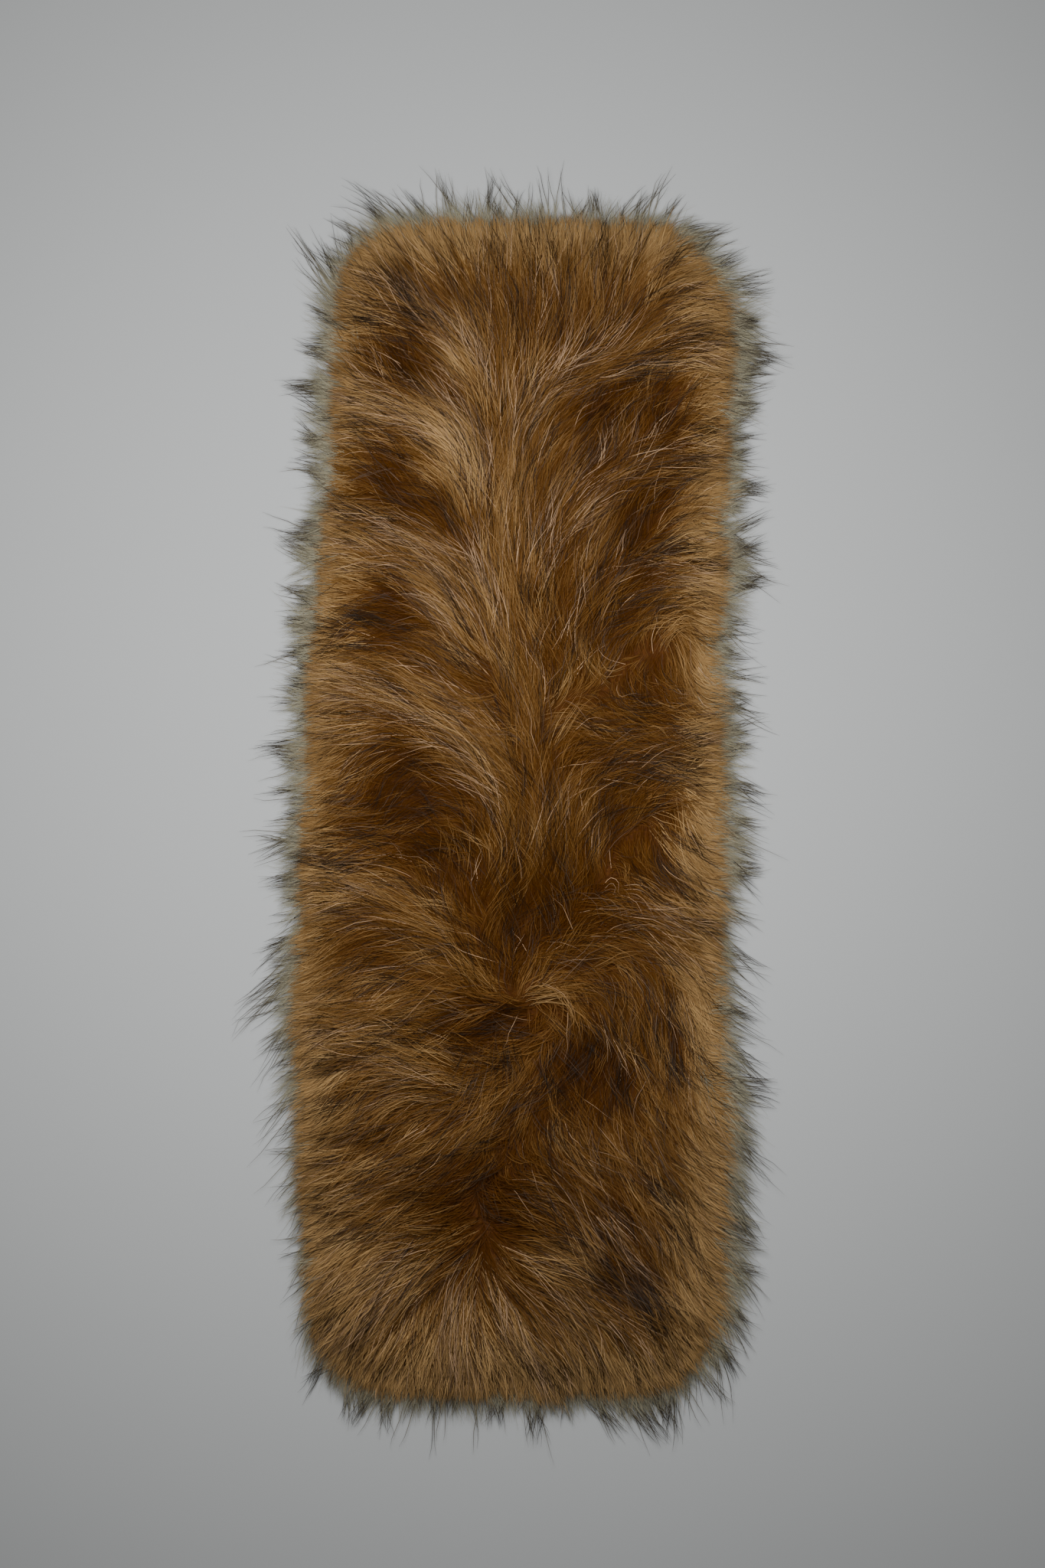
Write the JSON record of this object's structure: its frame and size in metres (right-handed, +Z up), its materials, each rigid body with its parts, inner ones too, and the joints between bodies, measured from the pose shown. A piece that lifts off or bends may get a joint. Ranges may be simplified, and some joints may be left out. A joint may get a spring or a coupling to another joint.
{
  "type": "fur collar wrap",
  "caption": "Long-pile fur wrap lying flat, pile up: a rounded, slightly tapered rectangle of fur fabric with a fringe of dark guard hairs all round.",
  "frame": {"origin": "on the surface the wrap lies on, under the middle of its outline", "axes": "+Z up out of the pile, +Y along the wrap towards its narrower end, +X across it"},
  "size_m": [0.3756, 0.916, 0.0435],
  "materials": {
    "knit_ground": "matt knitted ground of the pile fabric, greyish beige",
    "fur": "long soft pile, golden brown with rusty roots, softly glossy",
    "guard_hair": "fine dark guard hairs with greyish middles, softly glossy"
  },
  "bodies": {
    "root": {"backing_cloth": "knit_ground", "fur_pile": "fur", "guard_hair_fringe": "guard_hair"}
  },
  "joints": []
}
